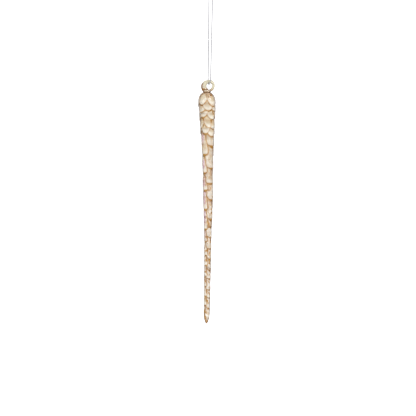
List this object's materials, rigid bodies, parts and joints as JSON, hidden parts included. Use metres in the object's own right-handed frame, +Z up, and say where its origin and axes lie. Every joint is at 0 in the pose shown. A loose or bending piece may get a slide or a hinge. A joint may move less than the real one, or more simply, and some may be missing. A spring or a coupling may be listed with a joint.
{
  "type": "icicle hanging ornament",
  "caption": "Slender crimped amber glass icicle with a curled glass eye, hung on a doubled thread loop tied in a knot.",
  "frame": {"origin": "axis of the hook wire that the thread's loop hangs over", "axes": "+Z up along the plumb line, -Y the side that the ring of the eye faces, +X to the right seen from there"},
  "size_m": [0.0147, 0.0147, 0.2848],
  "materials": {
    "amber_glass": "clear glass with a pale gold lustre, amber pooled in the creases",
    "pale_glass": "clear glass with a thinner gold lustre",
    "thread": "smooth pale silvery nylon"
  },
  "bodies": {
    "hung_knot": {"thread_knot": "thread"},
    "thread": {"thread_upper": "thread"},
    "thread_end": {"thread_lower": "thread"},
    "icicle": {"icicle_shaft": "amber_glass", "hanging_eye": "pale_glass"}
  },
  "joints": [
    {"name": "thread_swing", "type": "hinge", "parent": "hung_knot", "child": "thread", "pos_m": [0, 0, 0], "axis": [0, 1, 0], "range_deg": [-45, 45]},
    {"name": "thread_twist", "type": "hinge", "parent": "thread", "child": "thread_end", "pos_m": [0, 0, -0.04], "axis": [0, 0, 1], "range_deg": [-180, 180]},
    {"name": "icicle_rock", "type": "hinge", "parent": "thread_end", "child": "icicle", "pos_m": [0, 0, -0.075], "axis": [1, 0, 0], "range_deg": [-60, 60]}
  ]
}
